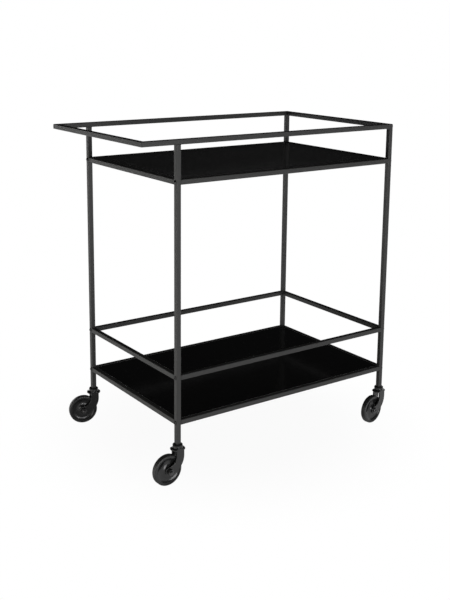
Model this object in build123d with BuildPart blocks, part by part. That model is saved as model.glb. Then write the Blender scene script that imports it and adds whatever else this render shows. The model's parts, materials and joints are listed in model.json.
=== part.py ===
from build123d import *
import os

# Serving cart: a square-tube frame on four swivel castors, with two glass shelves and a push handle.
# Millimetres. X runs along the cart with the handle at -X, the front long side is at -Y, Z is up.
# The origin is on the floor, under the middle of the whole cart.

# Tube
tube = 12.0
tube_wall = 1.5
tube_corner = 1.5

# Frame: post centres, how far the handle stands out, and the levels of the rails' top faces:
# the upper shelf hangs below the cart's top, and the guard rail stands above the lower shelf
post_pitch_x = 650.0
post_pitch_y = 424.0
handle_length = 90.0
cart_height = 812.0
upper_shelf_drop = 90.0
lower_shelf_height = 154.0
guard_rise = 110.0
cap_flange = 2.0
cap_plug_length = 10.0
cap_edge = 1.2

# Glass shelves, with the tabs and pads that carry them
glass_thickness = 5.0
glass_recess = 1.0
glass_gap = 1.0
glass_arris = 1.5
glass_corner = 2.0
pad_diameter = 10.0
pad_thickness = 1.0
pad_setback = 8.0
tab_length = 24.0
tab_depth = 14.0
tab_thickness = 2.0
tab_spread = 380.0

# Screws that hold the long rails to the posts, and the plugs they bite into
screw_diameter = 5.0
screw_length = 25.0
screw_head_diameter = 9.5
screw_head_height = 2.75
screw_head_rim = 0.9
screw_socket = 3.0
screw_socket_depth = 1.5
screw_hole_clearance = 0.2
thread_clearance = 0.05
plug_length = 20.0
plug_clearance = 0.1

# Castor: wheel
wheel_diameter = 75.0
wheel_width = 14.0
tyre_thickness = 5.0
tyre_shoulder = 3.0
tyre_seat_clearance = 0.05
rim_thickness = 2.5
rim_inset = 1.2
web_thickness = 6.0
hub_diameter = 16.0
hub_side_clearance = 0.3
bush_wall = 2.0
bush_clearance = 0.05
axle_diameter = 8.0
axle_clearance = 0.05
axle_head_diameter = 13.0
axle_head_height = 4.0
axle_head_edge = 1.0
axle_socket = 5.0
axle_socket_depth = 2.0
axle_nut_width = 13.0
axle_nut_height = 8.0
axle_nut_edge = 0.8
axle_end = 4.0
axle_end_edge = 1.0

# Castor: fork
wheel_side_gap = 1.0
leg_thickness = 4.0
leg_width = 21.0
leg_lead = 11.5
leg_edge = 1.0
leg_root = 2.0
crown_over_wheel = 6.0
crown_height = 9.5
crown_rim_diameter = 36.0
crown_rim_height = 4.8
crown_rim_round = 2.0
crown_top_diameter = 22.5
crown_neck_height = 1.0
crown_side_edge = 0.8
trail = 30.0

# How far each castor has turned about its stem as the cart stands, in degrees
front_left_swivel_angle = 1.5
back_left_swivel_angle = -15.0
front_right_swivel_angle = 9.0
back_right_swivel_angle = -9.0

# Castor: stem, sleeve and collar
stem_diameter = 10.0
stem_head_diameter = 16.0
stem_head_height = 3.0
stud_diameter = 6.0
stud_length = 18.0
sleeve_wall = 1.5
sleeve_fit = 0.02
swivel_clearance = 0.05
swivel_gap = 0.3
collar_diameter = 24.0
collar_thickness = 4.0
collar_chamfer = 1.2
insert_length = 22.0
insert_flange = 2.2
insert_chamfer = 0.8

# Levels and lines that follow from the sizes above
half_tube = tube / 2
tube_bore = tube - 2 * tube_wall
axle_height = wheel_diameter / 2
crown_bottom = wheel_diameter + crown_over_wheel
crown_top = crown_bottom + crown_height
collar_bottom = crown_top + swivel_gap
collar_top = collar_bottom + collar_thickness
post_bottom = collar_top + insert_flange

upper_shelf_height = cart_height - upper_shelf_drop
guard_height = lower_shelf_height + guard_rise

cart_left_reach = post_pitch_x / 2 + handle_length + half_tube
cart_right_reach = post_pitch_x / 2 + max(crown_rim_diameter / 2, half_tube + screw_head_height)
middle_x = (cart_right_reach - cart_left_reach) / 2
left_x = -post_pitch_x / 2 - middle_x
right_x = post_pitch_x / 2 - middle_x
handle_x = left_x - handle_length
row_y = post_pitch_y / 2
shelf_x = (left_x + right_x) / 2

top_level = cart_height - half_tube
shelf_levels = {
    "upper": upper_shelf_height - half_tube,
    "guard": guard_height - half_tube,
    "lower": lower_shelf_height - half_tube,
}
glass_levels = {
    "upper": upper_shelf_height - glass_recess,
    "lower": lower_shelf_height - glass_recess,
}
sides_x = {"left": left_x, "right": right_x}
sides_y = {"front": -row_y, "back": row_y}

os.makedirs("parts", exist_ok=True)


def save(piece, name):
    piece.part.label = name
    export_step(piece.part, f"parts/{name}.step")


def tube_section():
    RectangleRounded(tube, tube, tube_corner)
    Rectangle(tube_bore, tube_bore, mode=Mode.SUBTRACT)


# Posts: the left pair ends under the top rails, the right pair runs up to its caps.
# Each is drilled along X where a screw passes into a long rail.
for end, x in sides_x.items():
    for side, y in sides_y.items():
        post_top = cart_height - tube if end == "left" else cart_height - cap_flange
        screw_levels = list(shelf_levels.values())
        if end == "right":
            screw_levels.append(top_level)
        with BuildPart() as post:
            with BuildSketch(Plane.XY.offset(post_bottom)):
                with Locations((x, y)):
                    tube_section()
            extrude(amount=post_top - post_bottom)
            with BuildSketch(Plane((x - half_tube, y, 0), x_dir=(0, 1, 0), z_dir=(1, 0, 0))):
                with Locations(*[(0, level) for level in screw_levels]):
                    Circle(screw_diameter / 2 + screw_hole_clearance)
            extrude(amount=tube, mode=Mode.SUBTRACT)
        save(post, f"post_{side}_{end}")

# Caps: they close the right posts' tops, with a rounded upper edge and a plug that the top screw crosses.
with BuildPart() as post_caps:
    with BuildSketch(Plane.XY.offset(cart_height - cap_flange)):
        with Locations(*[(right_x, y) for y in sides_y.values()]):
            RectangleRounded(tube, tube, tube_corner)
    extrude(amount=cap_flange)
    fillet(post_caps.faces().group_by(Axis.Z)[-1].edges(), radius=cap_edge)
    with BuildSketch(Plane.XY.offset(cart_height - cap_flange)):
        with Locations(*[(right_x, y) for y in sides_y.values()]):
            Rectangle(tube_bore - 2 * plug_clearance, tube_bore - 2 * plug_clearance)
    extrude(amount=-cap_plug_length)
    with BuildSketch(Plane((right_x - half_tube, 0, top_level), x_dir=(0, 1, 0), z_dir=(1, 0, 0))):
        with Locations(*[(y, 0) for y in sides_y.values()]):
            Circle(screw_diameter / 2 + screw_hole_clearance)
    extrude(amount=tube, mode=Mode.SUBTRACT)
save(post_caps, "post_caps")

# Top rails: the long pair runs on over the left posts to the handle, with mitred corners.
for side, y in sides_y.items():
    outward = -1 if side == "front" else 1
    with BuildPart() as top_rail:
        with BuildSketch(Plane((handle_x - tube, y, top_level), x_dir=(0, 1, 0), z_dir=(1, 0, 0))):
            tube_section()
        extrude(amount=right_x - half_tube - handle_x + tube)
        split(bisect_by=Plane((handle_x, y, top_level), z_dir=(1, outward, 0)), keep=Keep.TOP)
    save(top_rail, f"top_rail_{side}")

with BuildPart() as handle_bar:
    with BuildSketch(Plane((handle_x, -row_y - tube, top_level), x_dir=(1, 0, 0), z_dir=(0, 1, 0))):
        tube_section()
    extrude(amount=post_pitch_y + 2 * tube)
    split(bisect_by=Plane((handle_x, -row_y, top_level), z_dir=(-1, 1, 0)), keep=Keep.TOP)
    split(bisect_by=Plane((handle_x, row_y, top_level), z_dir=(-1, -1, 0)), keep=Keep.TOP)
save(handle_bar, "handle_bar")

# Cross rails and long rails of the shelves and the guard: each is butted between two posts.
cross_rails = {"top_rail_right": (right_x, top_level)}
for level, z in shelf_levels.items():
    for end, x in sides_x.items():
        cross_rails[f"{level}_rail_{end}"] = (x, z)
for name, (x, z) in cross_rails.items():
    with BuildPart() as cross_rail:
        with BuildSketch(Plane((x, -row_y + half_tube, z), x_dir=(1, 0, 0), z_dir=(0, 1, 0))):
            tube_section()
        extrude(amount=post_pitch_y - tube)
    save(cross_rail, name)

for level, z in shelf_levels.items():
    for side, y in sides_y.items():
        with BuildPart() as long_rail:
            with BuildSketch(Plane((left_x + half_tube, y, z), x_dir=(0, 1, 0), z_dir=(1, 0, 0))):
                tube_section()
            extrude(amount=post_pitch_x - tube)
        save(long_rail, f"{level}_rail_{side}")

# Places of the screws: each is the centre of a screw head's seat on a post, with Z along the screw.
screw_planes = []
for y in sides_y.values():
    for z in shelf_levels.values():
        screw_planes.append(Plane((left_x - half_tube, y, z), x_dir=(0, 1, 0), z_dir=(1, 0, 0)))
        screw_planes.append(Plane((right_x + half_tube, y, z), x_dir=(0, 1, 0), z_dir=(-1, 0, 0)))
    screw_planes.append(Plane((right_x + half_tube, y, top_level), x_dir=(0, 1, 0), z_dir=(-1, 0, 0)))

# Rail screw: a button head with a hex socket, on a plain shank.
with BuildPart() as rail_screw:
    with BuildSketch(Plane.XZ):
        with BuildLine():
            crown_point = (0, -screw_head_height)
            rim_point = (screw_head_diameter / 2, -screw_head_rim)
            Line((0, 0), crown_point)
            TangentArc(crown_point, rim_point, tangent=(1, 0))
            Polyline(rim_point, (screw_head_diameter / 2, 0), (0, 0))
        make_face()
        with Locations((0, 0)):
            Rectangle(screw_diameter / 2, screw_length, align=(Align.MIN, Align.MIN))
    revolve(axis=Axis.Z)
    with BuildSketch(Plane.XY.offset(-screw_head_height)):
        RegularPolygon(screw_socket / 2, 6, major_radius=False)
    extrude(amount=screw_socket_depth, mode=Mode.SUBTRACT)

with BuildPart() as rail_screws:
    with Locations(*screw_planes):
        add(rail_screw.part)
save(rail_screws, "rail_screws")

# Rail end plugs: square plugs in the long rails' ends, bored for the screws.
with BuildPart() as rail_end_plug:
    with BuildSketch(Plane.XY.offset(tube)):
        Rectangle(tube_bore - 2 * plug_clearance, tube_bore - 2 * plug_clearance)
        Circle(screw_diameter / 2 + thread_clearance, mode=Mode.SUBTRACT)
    extrude(amount=plug_length)

with BuildPart() as rail_end_plugs:
    with Locations(*screw_planes):
        add(rail_end_plug.part)
save(rail_end_plugs, "rail_end_plugs")

# Shelves: a glass panel let in just below the rails' tops, on soft pads, on tabs welded to the rails.
opening_x = post_pitch_x - tube
opening_y = post_pitch_y - tube
for shelf, glass_top in glass_levels.items():
    tab_top = glass_top - glass_thickness - pad_thickness

    with BuildPart() as glass:
        with BuildSketch(Plane.XY.offset(glass_top)):
            with Locations((shelf_x, 0)):
                RectangleRounded(opening_x - 2 * glass_gap, opening_y - 2 * glass_gap, glass_corner)
        extrude(amount=-glass_thickness)
        chamfer(glass.faces().filter_by(Axis.Z).edges(), length=glass_arris)
    save(glass, f"{shelf}_glass")

    with BuildPart() as tabs:
        with BuildSketch(Plane.XY.offset(tab_top)):
            with Locations((shelf_x, 0)):
                with GridLocations(tab_spread, opening_y - tab_depth, 2, 2):
                    Rectangle(tab_length, tab_depth)
                with GridLocations(opening_x - tab_depth, 0, 2, 1):
                    Rectangle(tab_depth, tab_length)
        extrude(amount=-tab_thickness)
    save(tabs, f"{shelf}_glass_tabs")

    with BuildPart() as pads:
        with BuildSketch(Plane.XY.offset(tab_top)):
            with Locations((shelf_x, 0)):
                with GridLocations(tab_spread, opening_y - 2 * pad_setback, 2, 2):
                    Circle(pad_diameter / 2)
                with GridLocations(opening_x - 2 * pad_setback, 0, 2, 1):
                    Circle(pad_diameter / 2)
        extrude(amount=pad_thickness)
    save(pads, f"{shelf}_glass_pads")

# Places of the castors: the foot of each post, turned to where the wheel trails as the cart stands.
caster_places = {
    "front_left": Location((left_x, -row_y, 0), (0, 0, front_left_swivel_angle)),
    "back_left": Location((left_x, row_y, 0), (0, 0, back_left_swivel_angle)),
    "front_right": Location((right_x, -row_y, 0), (0, 0, front_right_swivel_angle)),
    "back_right": Location((right_x, row_y, 0), (0, 0, back_right_swivel_angle)),
}
nut_in_front = ["front_left", "back_left", "back_right"]
post_feet = [(x, y, 0) for x in sides_x.values() for y in sides_y.values()]

# Post insert: a threaded plug with a chamfered flange that closes the post's foot.
with BuildPart() as post_insert:
    with BuildSketch(Plane.XY.offset(collar_top)):
        RectangleRounded(tube, tube, tube_corner)
    extrude(amount=insert_flange)
    chamfer(post_insert.faces().sort_by(Axis.Z)[0].edges(), length=insert_chamfer)
    with BuildSketch(Plane.XY.offset(post_bottom)):
        Rectangle(tube_bore - 2 * plug_clearance, tube_bore - 2 * plug_clearance)
    extrude(amount=insert_length)
    with BuildSketch(Plane.XY.offset(collar_top)):
        Circle(stud_diameter / 2 + thread_clearance)
    extrude(amount=insert_flange + insert_length, mode=Mode.SUBTRACT)

with BuildPart() as post_inserts:
    with Locations(*post_feet):
        add(post_insert.part)
save(post_inserts, "post_inserts")

# Castor stem: a headed pin that carries the fork, with a stud above it that screws into the post.
stem_head_top = crown_bottom - swivel_gap
with BuildPart() as caster_stem:
    with BuildSketch(Plane.XZ):
        with Locations((0, stem_head_top)):
            Rectangle(stem_head_diameter / 2, stem_head_height, align=(Align.MIN, Align.MAX))
            Rectangle(stem_diameter / 2, collar_top - stem_head_top, align=(Align.MIN, Align.MIN))
        with Locations((0, collar_top)):
            Rectangle(stud_diameter / 2, stud_length, align=(Align.MIN, Align.MIN))
    revolve(axis=Axis.Z)

with BuildPart() as caster_stems:
    with Locations(*post_feet):
        add(caster_stem.part)
save(caster_stems, "caster_stems")

# Swivel sleeve: a plain bearing on the stem, inside the fork's crown.
sleeve_bore = stem_diameter / 2 + sleeve_fit
sleeve_radius = sleeve_bore + sleeve_wall
with BuildPart() as swivel_sleeve:
    with BuildSketch(Plane.XY.offset(crown_bottom)):
        Circle(sleeve_radius)
        Circle(sleeve_bore, mode=Mode.SUBTRACT)
    extrude(amount=crown_height)

with BuildPart() as swivel_sleeves:
    with Locations(*post_feet):
        add(swivel_sleeve.part)
save(swivel_sleeves, "swivel_sleeves")

# Collar: a round dust washer between the post's foot and the crown.
with BuildPart() as caster_collar:
    with BuildSketch(Plane.XY.offset(collar_bottom)):
        Circle(collar_diameter / 2)
        Circle(stem_diameter / 2 + sleeve_fit, mode=Mode.SUBTRACT)
    extrude(amount=collar_thickness)
    outer_rim = caster_collar.faces().sort_by(Axis.Z)[-1].edges().sort_by(SortBy.RADIUS)[-1]
    chamfer(outer_rim, length=collar_chamfer)

with BuildPart() as caster_collars:
    with Locations(*post_feet):
        add(caster_collar.part)
save(caster_collars, "caster_collars")

# Fork: a round crown cut flat at its sides, and two flat legs flush with it that bend back to the axle.
# It is drawn with the stem on the Z axis and the wheel trailing towards -X.
fork_gap = wheel_width + 2 * wheel_side_gap
fork_width = fork_gap + 2 * leg_thickness
boss_radius = leg_width / 2
leg_trail = leg_lead - leg_width
leg_top = crown_bottom + leg_root
bend_start = axle_height + boss_radius + trail + leg_trail
with BuildPart() as crown:
    with BuildSketch(Plane.XZ) as crown_profile:
        with BuildLine():
            rim_radius = crown_rim_diameter / 2
            rim_top = crown_bottom + crown_rim_height
            neck_radius = crown_top_diameter / 2
            neck_bottom = crown_top - crown_neck_height
            Polyline((0, crown_top), (0, crown_bottom), (rim_radius, crown_bottom), (rim_radius, rim_top))
            TangentArc((neck_radius, neck_bottom), (rim_radius, rim_top), tangent=(0, -1))
            Polyline((neck_radius, neck_bottom), (neck_radius, crown_top), (0, crown_top))
        make_face()
        fillet(crown_profile.vertices().group_by(Axis.X)[-1], radius=crown_rim_round)
    revolve(axis=Axis.Z)
    with BuildSketch(Plane.XY.offset(crown_bottom)):
        Rectangle(crown_rim_diameter, fork_width)
    extrude(amount=crown_height, mode=Mode.INTERSECT)
    fillet(crown.faces().filter_by(Axis.Y).edges(), radius=crown_side_edge)

with BuildPart() as fork:
    with BuildSketch(Plane.XZ.offset(fork_gap / 2)):
        with BuildLine():
            boss_top = (-trail, axle_height + boss_radius)
            boss_end = (-trail - boss_radius, axle_height)
            boss_bottom = (-trail, axle_height - boss_radius)
            trail_bend = (leg_trail, bend_start)
            lead_bend = (leg_lead, bend_start)
            Polyline(trail_bend, (leg_trail, leg_top), (leg_lead, leg_top), lead_bend)
            TangentArc(lead_bend, boss_bottom, tangent=(0, -1))
            ThreePointArc(boss_bottom, boss_end, boss_top)
            TangentArc(trail_bend, boss_top, tangent=(0, -1))
        make_face()
    extrude(amount=leg_thickness)
    fillet(fork.faces().sort_by(Axis.Y)[0].edges(), radius=leg_edge)
    mirror(about=Plane.XZ)
    add(crown.part)
    with BuildSketch(Plane.XY):
        Circle(sleeve_radius + swivel_clearance)
    extrude(amount=crown_top, mode=Mode.SUBTRACT)
    with BuildSketch(Plane.XZ):
        with Locations((-trail, axle_height)):
            Circle(axle_diameter / 2 + axle_clearance)
    extrude(amount=fork_width, both=True, mode=Mode.SUBTRACT)

# Axle bolt: it runs across the fork, with a round socket head at the front and a nut at the back.
axle_seat = fork_width / 2
axle_line = Plane((-trail, -axle_seat, axle_height), x_dir=(1, 0, 0), z_dir=(0, 1, 0))
with BuildPart() as axle_bolt:
    with BuildSketch(axle_line):
        Circle(axle_head_diameter / 2)
    extrude(amount=-axle_head_height)
    chamfer(axle_bolt.faces().sort_by(Axis.Y)[0].edges(), length=axle_head_edge)
    with BuildSketch(axle_line.offset(-axle_head_height)):
        RegularPolygon(axle_socket / 2, 6, major_radius=False)
    extrude(amount=axle_socket_depth, mode=Mode.SUBTRACT)
    with BuildSketch(axle_line):
        Circle(axle_diameter / 2)
    extrude(amount=fork_width + axle_nut_height + axle_end)
    chamfer(axle_bolt.faces().sort_by(Axis.Y)[-1].edges(), length=axle_end_edge)

# Axle nut: a turned disc with a bevelled outer edge, cut down to a hexagon and bored.
nut_seat = axle_line.offset(fork_width)
nut_corner_radius = axle_nut_width / 3**0.5
with BuildPart() as axle_nut:
    with BuildSketch(nut_seat):
        Circle(nut_corner_radius)
    extrude(amount=axle_nut_height)
    chamfer(axle_nut.faces().sort_by(Axis.Y)[-1].edges(), length=axle_nut_edge)
    with BuildSketch(nut_seat):
        RegularPolygon(axle_nut_width / 2, 6, major_radius=False)
        Circle(axle_diameter / 2 + thread_clearance, mode=Mode.SUBTRACT)
    extrude(amount=axle_nut_height, mode=Mode.INTERSECT)

# Wheel: a core with dished sides and a hub, drawn in half section along the axle (x) and out from it (y).
wheel_section = Plane((-trail, 0, axle_height), x_dir=(0, 1, 0), z_dir=(1, 0, 0))
wheel_axis = Axis((-trail, 0, axle_height), (0, 1, 0))
hub_half = fork_gap / 2 - hub_side_clearance
hub_radius = hub_diameter / 2
bush_bore = axle_diameter / 2 + axle_clearance
bush_radius = bush_bore + bush_wall
tyre_seat = wheel_diameter / 2 - tyre_thickness
core_radius = tyre_seat - tyre_seat_clearance
rim_half = wheel_width / 2 - rim_inset
rim_inner = tyre_seat - rim_thickness
dish_middle = (web_thickness / 2, (hub_radius + rim_inner) / 2)
hub_bore = bush_radius + bush_clearance
with BuildPart() as wheel:
    with BuildSketch(wheel_section):
        with BuildLine():
            Polyline((0, hub_bore), (hub_half, hub_bore), (hub_half, hub_radius))
            ThreePointArc((hub_half, hub_radius), dish_middle, (rim_half, rim_inner))
            Polyline((rim_half, rim_inner), (rim_half, core_radius), (0, core_radius), (0, hub_bore))
        make_face()
    revolve(axis=wheel_axis)
    mirror(about=Plane.XZ)

with BuildPart() as wheel_bush:
    with BuildSketch(wheel_section):
        with Locations((0, bush_bore)):
            Rectangle(2 * hub_half, bush_wall, align=(Align.CENTER, Align.MIN))
    revolve(axis=wheel_axis)

with BuildPart() as tyre:
    with BuildSketch(wheel_section) as tyre_profile:
        with Locations((0, tyre_seat)):
            Rectangle(wheel_width, tyre_thickness, align=(Align.CENTER, Align.MIN))
        fillet(tyre_profile.vertices().group_by(Axis.Y)[-1], radius=tyre_shoulder)
    revolve(axis=wheel_axis)

# Each castor is set at its post. Fork and wheel are the same both ways round, and an axle may be reversed.
caster_pieces = {
    "fork": fork,
    "axle_bolt": axle_bolt,
    "axle_nut": axle_nut,
    "wheel": wheel,
    "wheel_bush": wheel_bush,
    "tyre": tyre,
}
for corner, place in caster_places.items():
    for name, piece in caster_pieces.items():
        with BuildPart() as placed_piece:
            with Locations(place):
                if corner in nut_in_front:
                    add(piece.part.mirror(Plane.XZ))
                else:
                    add(piece.part)
        save(placed_piece, f"{name}_{corner}")
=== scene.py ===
import bpy
import json
import math
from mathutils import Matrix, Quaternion, Vector


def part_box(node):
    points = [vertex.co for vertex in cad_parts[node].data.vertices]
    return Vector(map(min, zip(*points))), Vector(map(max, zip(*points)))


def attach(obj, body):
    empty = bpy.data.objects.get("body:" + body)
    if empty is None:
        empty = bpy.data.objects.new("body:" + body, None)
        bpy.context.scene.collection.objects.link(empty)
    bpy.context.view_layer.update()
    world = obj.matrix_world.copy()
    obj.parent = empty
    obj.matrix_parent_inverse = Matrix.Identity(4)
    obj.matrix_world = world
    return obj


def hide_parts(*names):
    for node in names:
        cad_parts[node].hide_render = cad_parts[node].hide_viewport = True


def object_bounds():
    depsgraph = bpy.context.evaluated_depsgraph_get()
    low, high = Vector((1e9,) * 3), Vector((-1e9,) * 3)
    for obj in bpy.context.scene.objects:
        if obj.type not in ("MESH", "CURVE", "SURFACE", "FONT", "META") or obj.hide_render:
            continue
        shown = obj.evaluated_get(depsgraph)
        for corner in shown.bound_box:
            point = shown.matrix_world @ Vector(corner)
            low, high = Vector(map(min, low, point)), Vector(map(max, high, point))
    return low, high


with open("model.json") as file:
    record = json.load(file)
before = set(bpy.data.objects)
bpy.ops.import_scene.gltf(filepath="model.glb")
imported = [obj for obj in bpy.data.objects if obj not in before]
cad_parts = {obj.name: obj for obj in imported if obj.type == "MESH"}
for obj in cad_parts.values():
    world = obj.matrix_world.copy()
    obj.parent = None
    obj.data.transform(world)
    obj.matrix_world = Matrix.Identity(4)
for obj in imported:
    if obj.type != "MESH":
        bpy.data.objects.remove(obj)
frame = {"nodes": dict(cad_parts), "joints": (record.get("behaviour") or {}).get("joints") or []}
cad_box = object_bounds()
nodes = frame["nodes"]

# Tube frame: posts, rails, handle, post caps and the tabs under the glass.
# Square steel tube with softly rounded corners, welded crosswise and screwed together lengthwise.
# It wears a satin black powder coat with a fine orange peel, rubbed smoother where hands push the cart.


class Shade:
    """One socket of a material's nodes. An expression on it adds the Math nodes that work it out."""

    def __init__(self, tree, socket=None):
        self.tree = tree
        self.socket = socket

    def node(self, kind, settings, inputs, output=0):
        made = self.tree.nodes.new(kind)
        for name, value in settings.items():
            setattr(made, name, value)
        for name, value in inputs.items():
            if isinstance(value, Shade):
                self.tree.links.new(value.socket, made.inputs[name])
            else:
                made.inputs[name].default_value = value
        return Shade(self.tree, made.outputs[output] if made.outputs else None)

    def math(self, operation, first, second):
        return self.node("ShaderNodeMath", {"operation": operation}, {0: first, 1: second})

    def __abs__(self):
        return self.math("ABSOLUTE", self, 0)

    def __add__(self, other):
        return self.math("ADD", self, other)

    def __radd__(self, other):
        return self.math("ADD", other, self)

    def __sub__(self, other):
        return self.math("SUBTRACT", self, other)

    def __rsub__(self, other):
        return self.math("SUBTRACT", other, self)

    def __mul__(self, other):
        return self.math("MULTIPLY", self, other)

    def __rmul__(self, other):
        return self.math("MULTIPLY", other, self)

    def blend(self, dark, pale):
        first_colour, second_colour, mixed_colour = 6, 7, 2
        sockets = {"Factor": self, first_colour: (*dark, 1), second_colour: (*pale, 1)}
        return self.node("ShaderNodeMix", {"data_type": "RGBA"}, sockets, mixed_colour)


def open_finish(name):
    finish = bpy.data.materials.new(name)
    finish.use_nodes = True
    finish.node_tree.nodes.clear()
    return finish, Shade(finish.node_tree).node("ShaderNodeTexCoord", {}, {}, "Object")


def close_finish(finish, sockets):
    surface = Shade(finish.node_tree).node("ShaderNodeBsdfPrincipled", {}, sockets)
    surface.node("ShaderNodeOutputMaterial", {}, {"Surface": surface})


def grain(place, scale, detail):
    return place.node("ShaderNodeTexNoise", {}, {"Vector": place, "Scale": scale, "Detail": detail}, "Fac")


def relief(height, depth):
    return height.node("ShaderNodeBump", {}, {"Strength": 1.0, "Distance": depth, "Height": height}, "Normal")


def along(place, axis):
    return place.node("ShaderNodeSeparateXYZ", {}, {"Vector": place}, axis)


def fade(value, start, end, low=0.0, high=1.0, curve="LINEAR"):
    span = {"Value": value, "From Min": start, "From Max": end, "To Min": low, "To Max": high}
    return value.node("ShaderNodeMapRange", {"interpolation_type": curve}, span)


def dress(finish, names):
    for name in names:
        nodes[name].data.materials.clear()
        nodes[name].data.materials.append(finish)


coat_roughness = 0.36
cloud_dulling = 0.14
grip_polish = 0.10
grip_reach = 0.03
powder_coat, place = open_finish("powder_coat")
peel = grain(place, scale=900.0, detail=2.0)
cloud = grain(place, scale=16.0, detail=4.0)
handle_low, handle_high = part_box("handle_bar")
grip = fade(along(place, "X"), handle_high.x + grip_reach, handle_low.x)
grip = grip * grain(place, scale=70.0, detail=3.0)
close_finish(powder_coat, {
    "Base Color": cloud.blend(dark=(0.040, 0.0398, 0.039), pale=(0.052, 0.0518, 0.051)),
    "Roughness": coat_roughness + cloud_dulling * cloud - grip_polish * grip,
    "Specular IOR Level": 0.35,
    "Normal": relief(peel, depth=0.000008),
})
tube_names = [name for name in nodes if name.startswith("post_") and name != "post_inserts"]
tube_names += [name for name in nodes if "_rail_" in name or name == "handle_bar"]
dress(powder_coat, tube_names + ["upper_glass_tabs", "lower_glass_tabs"])

# Weld beads: short runs of weld under the cross rails' ends, under the handle's arms and along the tabs.
# Each is laid by hand in overlapping dabs that melt into one another, before the frame is coated.
dab_radius = 0.0013
dab_pitch = 0.0016
dab_count = 6
melt_cell = dab_radius / 4
melt_strength = 0.5
melt_rounds = 2
tab_spread = 0.38


def copy_to(piece, spot, turn):
    copy = piece.copy()
    copy.data = piece.data.copy()
    copy.location = spot
    copy.rotation_mode = "QUATERNION"
    copy.rotation_quaternion = turn
    bpy.context.collection.objects.link(copy)
    return copy


def gather(copies):
    bpy.ops.object.select_all(action="DESELECT")
    for copy in copies:
        copy.select_set(True)
    bpy.context.view_layer.objects.active = copies[0]
    bpy.ops.object.join()
    return copies[0]


def settle(piece, name, finish, body):
    bpy.ops.object.select_all(action="DESELECT")
    piece.select_set(True)
    bpy.context.view_layer.objects.active = piece
    bpy.ops.object.transform_apply(location=True, rotation=True, scale=True)
    piece.name = name
    piece.data.name = name
    piece.data.materials.clear()
    piece.data.materials.append(finish)
    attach(piece, body)


bpy.ops.object.select_all(action="DESELECT")
row_start = -dab_pitch * (dab_count - 1) / 2
bpy.ops.mesh.primitive_uv_sphere_add(segments=12, ring_count=6, radius=dab_radius, location=(row_start, 0, 0))
bead = bpy.context.object
bpy.ops.object.transform_apply(location=True, rotation=False, scale=False)
dabs = bead.modifiers.new("dabs", "ARRAY")
dabs.use_relative_offset = False
dabs.use_constant_offset = True
dabs.constant_offset_displace = (dab_pitch, 0, 0)
dabs.count = dab_count
bpy.ops.object.modifier_apply(modifier="dabs")
skin = bead.modifiers.new("skin", "REMESH")
skin.mode = "VOXEL"
skin.voxel_size = melt_cell
bpy.ops.object.modifier_apply(modifier="skin")
melted = bead.modifiers.new("melted", "SMOOTH")
melted.factor = melt_strength
melted.iterations = melt_rounds
bpy.ops.object.modifier_apply(modifier="melted")
bpy.ops.object.shade_smooth()

lengthwise = Quaternion()
crosswise = Quaternion((0, 0, 1), math.radians(90))
runs = []
for name in nodes:
    if name.endswith(("_rail_left", "_rail_right")):
        low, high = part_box(name)
        runs += [((low.x + high.x) / 2, y, low.z, lengthwise) for y in (low.y, high.y)]
for name in ("post_front_left", "post_back_left"):
    low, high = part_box(name)
    runs += [(x, (low.y + high.y) / 2, high.z, crosswise) for x in (low.x, high.x)]
for shelf in ("upper", "lower"):
    low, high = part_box(f"{shelf}_glass_tabs")
    middle = (low + high) / 2
    for x in (middle.x - tab_spread / 2, middle.x + tab_spread / 2):
        runs += [(x, y, low.z, lengthwise) for y in (low.y, high.y)]
    runs += [(x, middle.y, low.z, crosswise) for x in (low.x, high.x)]
beads = [copy_to(bead, (x, y, z), turn) for x, y, z, turn in runs]
bpy.data.objects.remove(bead)
settle(gather(beads), "weld_beads", powder_coat, "frame")

# Glass shelves: two panels of black glass, let in between the rails and lying on the bumpers.
# Polished, with a faint smear of wiping in its shine, and with an edge that is bevelled all round
# and ground to a dull grey.
ground_width = 0.0015
ground_fade = 0.0002
ground_dulling = 0.24
wiping_stretch = (4.0, 22.0, 1.0)
smear_tone = 0.005
smear_dulling = 0.08
polished_roughness = 0.12
glass_low, glass_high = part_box("lower_glass")
glass_middle = (glass_low + glass_high) / 2
glass_half = (glass_high - glass_low) / 2
black_glass, place = open_finish("black_glass")
wiped = place.node("ShaderNodeMapping", {}, {"Vector": place, "Scale": wiping_stretch})
smear = grain(wiped, scale=1.0, detail=5.0)
inside_x = glass_half.x - abs(along(place, "X") - glass_middle.x)
inside_y = glass_half.y - abs(along(place, "Y") - glass_middle.y)
inside = place.math("MINIMUM", inside_x, inside_y)
ground = fade(inside, ground_width, ground_width - ground_fade)
tone = ground + smear_tone * smear * (1 - ground)
close_finish(black_glass, {
    "Base Color": tone.blend(dark=(0.0020, 0.0020, 0.0022), pale=(0.270, 0.280, 0.280)),
    "Roughness": polished_roughness + smear_dulling * smear + ground_dulling * ground,
    "IOR": 1.5,
})
dress(black_glass, ["upper_glass", "lower_glass"])

# Rail screws: button heads with a hex socket, on the end faces of the posts.
# Steel with a black oxide finish, a little brighter where the key has rubbed.
oxide_roughness = 0.22
rub_dulling = 0.14
black_oxide, place = open_finish("black_oxide")
rub = grain(place, scale=650.0, detail=4.0)
close_finish(black_oxide, {
    "Base Color": rub.blend(dark=(0.005, 0.005, 0.0055), pale=(0.014, 0.014, 0.015)),
    "Metallic": 0.2,
    "Roughness": oxide_roughness + rub_dulling * rub,
    "Normal": relief(rub, depth=0.00001),
})
dress(black_oxide, ["rail_screws"])

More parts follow.
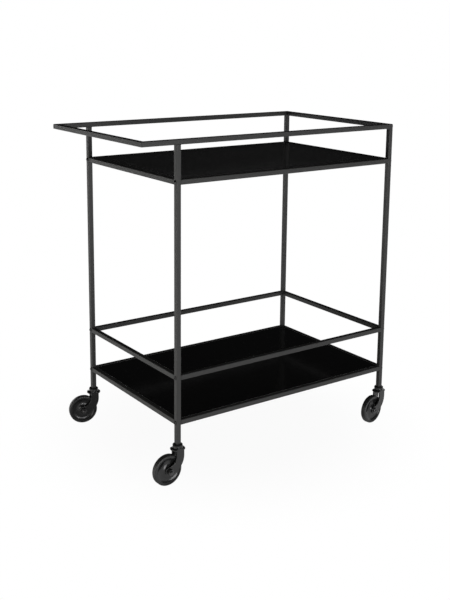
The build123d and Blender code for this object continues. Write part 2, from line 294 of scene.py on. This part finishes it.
# Plugs, post inserts and bearing sleeves: black nylon, injection moulded and pressed into place.
# Matte, with the fine spark-eroded grain of the mould.
nylon_roughness = 0.50
spark_dulling = 0.15
nylon, place = open_finish("moulded_nylon")
spark = grain(place, scale=2400.0, detail=3.0)
close_finish(nylon, {
    "Base Color": spark.blend(dark=(0.014, 0.014, 0.015), pale=(0.022, 0.022, 0.023)),
    "Roughness": nylon_roughness + spark_dulling * spark,
    "Normal": relief(spark, depth=0.00002),
})
sleeve_names = [name for name in nodes if name.startswith("wheel_bush_")]
dress(nylon, ["rail_end_plugs", "post_inserts", "swivel_sleeves"] + sleeve_names)

# Glass bumpers: soft domed buttons between each panel and its tabs, stuck on by their flat side.
# Black rubber, moulded, slightly squeezed by the weight of the glass.
bumper_radius = 0.005
dome_share = 0.42
rubber_roughness = 0.62
bloom_dulling = 0.20
rubber, place = open_finish("bumper_rubber")
bloom = grain(place, scale=800.0, detail=4.0)
close_finish(rubber, {
    "Base Color": bloom.blend(dark=(0.018, 0.018, 0.018), pale=(0.034, 0.033, 0.032)),
    "Roughness": rubber_roughness + bloom_dulling * bloom,
    "Normal": relief(bloom, depth=0.00002),
})
for shelf in ("upper", "lower"):
    low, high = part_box(f"{shelf}_glass_pads")
    thickness = high.z - low.z
    middle = (low + high) / 2
    spots = [(x, middle.y) for x in (low.x + bumper_radius, high.x - bumper_radius)]
    for x in (middle.x - tab_spread / 2, middle.x + tab_spread / 2):
        spots += [(x, y) for y in (low.y + bumper_radius, high.y - bumper_radius)]
    bpy.ops.object.select_all(action="DESELECT")
    bpy.ops.mesh.primitive_cylinder_add(vertices=48, radius=bumper_radius, depth=thickness)
    bumper = bpy.context.object
    bpy.ops.object.mode_set(mode="EDIT")
    bpy.ops.mesh.bevel(offset=thickness * dome_share, segments=4, profile=0.6)
    bpy.ops.mesh.remove_doubles(threshold=0.000001)
    bpy.ops.object.mode_set(mode="OBJECT")
    bpy.ops.object.shade_smooth_by_angle(angle=math.radians(40))
    bumpers = gather([copy_to(bumper, (x, y, middle.z), lengthwise) for x, y in spots])
    bpy.data.objects.remove(bumper)
    settle(bumpers, f"{shelf}_bumpers", rubber, "frame")
    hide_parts(f"{shelf}_glass_pads")

# Castor stems, axle bolts and nuts: turned steel pins and hex hardware that carry forks and wheels.
# Dark zinc plate, with fine turning lines in its shine.
zinc_roughness = 0.24
patina_dulling = 0.16
dark_zinc, place = open_finish("dark_zinc")
turning = grain(place, scale=1500.0, detail=2.0)
patina = grain(place, scale=120.0, detail=4.0)
close_finish(dark_zinc, {
    "Base Color": patina.blend(dark=(0.060, 0.060, 0.064), pale=(0.115, 0.113, 0.112)),
    "Metallic": 0.85,
    "Roughness": zinc_roughness + patina_dulling * patina,
    "Normal": relief(turning, depth=0.000008),
})
hardware = [name for name in nodes if name.startswith(("axle_bolt_", "axle_nut_"))]
dress(dark_zinc, hardware + ["caster_stems"])

# Axle threads: two turns of thread on the end of each axle bolt, where it stands out of its nut.
# Rolled into the steel and plated with it.
axle_radius = 0.004
nut_height = 0.008
thread_pitch = 0.00125
thread_turns = 2
ridge_radius = 0.0004
ridge_sides = 8
bpy.ops.object.select_all(action="DESELECT")
bpy.ops.mesh.primitive_circle_add(vertices=ridge_sides, radius=ridge_radius, location=(axle_radius, 0, 0),
                                  rotation=(math.radians(90), 0, 0))
ridge = bpy.context.object
bpy.ops.object.transform_apply(location=True, rotation=True, scale=True)
helix = ridge.modifiers.new("helix", "SCREW")
helix.axis = "Z"
helix.screw_offset = thread_pitch
helix.iterations = thread_turns
helix.steps = 32
helix.render_steps = helix.steps
bpy.ops.object.modifier_apply(modifier="helix")
bpy.ops.object.mode_set(mode="EDIT")
bpy.ops.mesh.select_all(action="SELECT")
bpy.ops.mesh.fill_holes(sides=ridge_sides)
bpy.ops.mesh.normals_make_consistent(inside=False)
bpy.ops.object.mode_set(mode="OBJECT")
bpy.ops.object.shade_smooth_by_angle(angle=math.radians(50))
axles = {joint["name"]: joint for joint in frame["joints"] if joint["name"].startswith("spin_")}
for name, axle in axles.items():
    corner = name.removeprefix("spin_")
    low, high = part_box(f"axle_nut_{corner}")
    nut_middle = (low + high) / 2
    outward = (nut_middle - Vector(axle["pos_m"])).normalized()
    start = nut_middle + outward * (nut_height / 2 + ridge_radius)
    thread = copy_to(ridge, start, Vector((0, 0, 1)).rotation_difference(outward))
    settle(thread, f"axle_thread_{corner}", dark_zinc, f"castor_{corner}")
bpy.data.objects.remove(ridge)

# Castor collars: round dust washers between the post's foot and the fork.
# Black plastic, dull, moulded with a bevelled upper edge.
collar_roughness = 0.46
haze_dulling = 0.18
dull_black, place = open_finish("dull_black_plastic")
haze = grain(place, scale=500.0, detail=4.0)
close_finish(dull_black, {
    "Base Color": haze.blend(dark=(0.006, 0.006, 0.006), pale=(0.011, 0.011, 0.011)),
    "Roughness": collar_roughness + haze_dulling * haze,
    "Specular IOR Level": 0.35,
    "Normal": relief(haze, depth=0.00002),
})
dress(dull_black, ["caster_collars"])

# Castor forks and wheel cores: glossy black nylon, moulded.
# The skin is smooth and shiny, with a slight ripple where the moulding has shrunk.
gloss_roughness = 0.20
scuff_dulling = 0.10
gloss_black, place = open_finish("gloss_black_plastic")
shrink = grain(place, scale=55.0, detail=2.0)
scuff = grain(place, scale=380.0, detail=5.0)
close_finish(gloss_black, {
    "Base Color": scuff.blend(dark=(0.010, 0.010, 0.0105), pale=(0.017, 0.017, 0.0175)),
    "Roughness": gloss_roughness + scuff_dulling * scuff,
    "Normal": relief(shrink, depth=0.00008),
})
core_names = [name for name in nodes if name.startswith("wheel_") and name not in sleeve_names]
dress(gloss_black, [name for name in nodes if name.startswith("fork_")] + core_names)

# Tyres: hard black treads moulded round the wheel cores.
# Smooth, with a faint parting line round the middle and a duller band where they touch the floor.
band_half = 0.0045
band_end = 0.0062
parting_half = 0.0001
parting_end = 0.0004
parting_share = 0.5
fine_share = 0.3
tread_roughness = 0.26
fine_dulling = 0.10
worn_dulling = 0.22
for name, axle in axles.items():
    corner = name.removeprefix("spin_")
    tread, place = open_finish(f"tyre_tread_{corner}")
    turn = math.atan2(-axle["axis"][0], axle["axis"][1])
    wheel_place = {"Vector": place, "Location": axle["pos_m"], "Rotation": (0, 0, turn)}
    local = place.node("ShaderNodeMapping", {"vector_type": "TEXTURE"}, wheel_place)
    reach = abs(along(local, "Y"))
    band = fade(reach, band_half, band_end, low=1.0, high=0.0)
    parting = fade(reach, parting_half, parting_end, low=1.0, high=0.0)
    fine = grain(place, scale=1200.0, detail=4.0)
    worn = band * grain(place, scale=160.0, detail=5.0)
    close_finish(tread, {
        "Base Color": worn.blend(dark=(0.014, 0.014, 0.0145), pale=(0.034, 0.033, 0.032)),
        "Roughness": tread_roughness + fine_dulling * fine + worn_dulling * worn,
        "Normal": relief(parting_share * parting + fine_share * fine, depth=0.00005),
    })
    dress(tread, [f"tyre_{corner}"])

# Studio: a pale floor, a white surround low down and a dark ceiling, as the cart was lit.
# The floor and the surround show white to the camera and in the cart's gloss. In the gloss the floor carries
# a painted shade over the cart's footprint, so it looks darker under the cart. Close to the cart the floor
# keeps a faint shadow.
floor_size = 40
shadow_near = 0.2
shadow_far = 0.6
shadow_white = 0.95
mirror_white = 0.8
painted_shade_strength = 0.72
painted_shade_inset = 0.05
painted_shade_outset = 0.06


def rays(sheet, kind):
    return sheet.node("ShaderNodeLightPath", {}, {}, f"Is {kind} Ray")


studio_floor, place = open_finish("studio_floor")
paper = place.node("ShaderNodeBsdfDiffuse", {}, {"Color": (0.82, 0.82, 0.82, 1)})
glow = place.node("ShaderNodeEmission", {}, {"Color": (1, 1, 1, 1), "Strength": 1.0})
away = place.node("ShaderNodeVectorMath", {"operation": "LENGTH"}, {0: place}, "Value")
whiteness = fade(away, shadow_near, shadow_far, low=shadow_white, curve="SMOOTHSTEP")
# Painted shade: a mask over the cart's footprint darkens the floor as the cart's gloss sees it, though no
# lamp shades it there.
past_x = abs(along(place, "X")) - cad_box[1].x
past_y = abs(along(place, "Y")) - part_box("post_back_left")[1].y
past_cart = place.math("MAXIMUM", past_x, past_y)
painted_shade_under_cart = 1 - fade(past_cart, -painted_shade_inset, painted_shade_outset, curve="SMOOTHSTEP")
mirrored = rays(place, "Glossy") + rays(place, "Transmission")
seen = whiteness * rays(place, "Camera") + (mirror_white - painted_shade_strength * painted_shade_under_cart) * mirrored
lit = place.node("ShaderNodeMixShader", {}, {0: seen, 1: paper, 2: glow})
place.node("ShaderNodeOutputMaterial", {}, {"Surface": lit})
bpy.ops.object.select_all(action="DESELECT")
bpy.ops.mesh.primitive_plane_add(size=floor_size, location=(0, 0, 0))
floor = bpy.context.object
floor.name = "studio_floor"
floor.data.materials.append(studio_floor)

surround_top = 0.03
ceiling_level = 0.012
world = bpy.data.worlds.new("studio")
bpy.context.scene.world = world
world.use_nodes = True
world.node_tree.nodes.clear()
direction = Shade(world.node_tree).node("ShaderNodeTexCoord", {}, {}, "Generated")
surround = fade(along(direction, "Z"), 0.0, surround_top, low=1.0, high=0.0)
mirrored = rays(direction, "Glossy") + rays(direction, "Transmission")
white = rays(direction, "Camera") + mirrored * surround
glare = ceiling_level + (1 - ceiling_level) * white
air = direction.node("ShaderNodeBackground", {}, {"Color": (1, 1, 1, 1), "Strength": glare})
direction.node("ShaderNodeOutputWorld", {}, {"Surface": air})

# Lamps: large low softboxes on all four sides, the handle's and the front's the main ones, leave tops dark.
# A small key at the front right, higher up, draws thin glints along edges, and a weak one lights from above.
# Each has its place, its width and height, its power and its tint, and faces the middle of the cart.
softboxes = {
    "handle_side_softbox": ((-1.4, -0.1, 0.28), (1.4, 0.5), 5.2, (1.0, 0.99, 0.925)),
    "front_softbox": ((-0.1, -3.6, 0.35), (2.2, 0.7), 46.0, (0.99, 0.99, 1.0)),
    "back_softbox": ((-0.2, 2.9, 0.35), (1.4, 0.6), 8.0, (1.0, 1.0, 1.0)),
    "right_softbox": ((2.7, 0.1, 0.45), (1.6, 0.8), 8.0, (1.0, 1.0, 1.0)),
    "key_softbox": ((1.3, -1.5, 1.6), (0.6, 0.6), 2.2, (1.0, 1.0, 1.0)),
    "overhead_softbox": ((-0.8, -1.0, 2.3), (0.6, 0.6), 0.8, (1.0, 1.0, 1.0)),
}
cart_middle = (cad_box[0] + cad_box[1]) / 2
for name, (spot, size, power, tint) in softboxes.items():
    bpy.ops.object.light_add(type="AREA", location=spot)
    softbox = bpy.context.object
    softbox.name = name
    softbox.data.shape = "RECTANGLE"
    softbox.data.size, softbox.data.size_y = size
    softbox.data.energy = power
    softbox.data.color = tint
    softbox.rotation_mode = "QUATERNION"
    softbox.rotation_quaternion = (cart_middle - Vector(spot)).to_track_quat("-Z", "Y")

# Camera: stands off the handle's near corner, a little above the cart, and looks slightly down.
# Its lens is shifted to frame the cart high in the upright picture.
yaw = math.radians(35.269)
pitch = math.radians(11.031)
roll = math.radians(0.54)
sight = Vector((math.sin(yaw) * math.cos(pitch), math.cos(yaw) * math.cos(pitch), -math.sin(pitch)))
bpy.ops.object.camera_add(location=(-1.4005, -1.9715, 1.0595))
camera = bpy.context.object
camera.name = "camera"
camera.rotation_mode = "QUATERNION"
camera.rotation_quaternion = sight.to_track_quat("-Z", "Y") @ Quaternion((0, 0, 1), roll)
camera.data.sensor_width = 36.0
camera.data.lens = 56.941
camera.data.shift_y = -0.15
camera.data.clip_end = 100.0
bpy.context.scene.camera = camera
bpy.context.scene.view_settings.view_transform = "Standard"
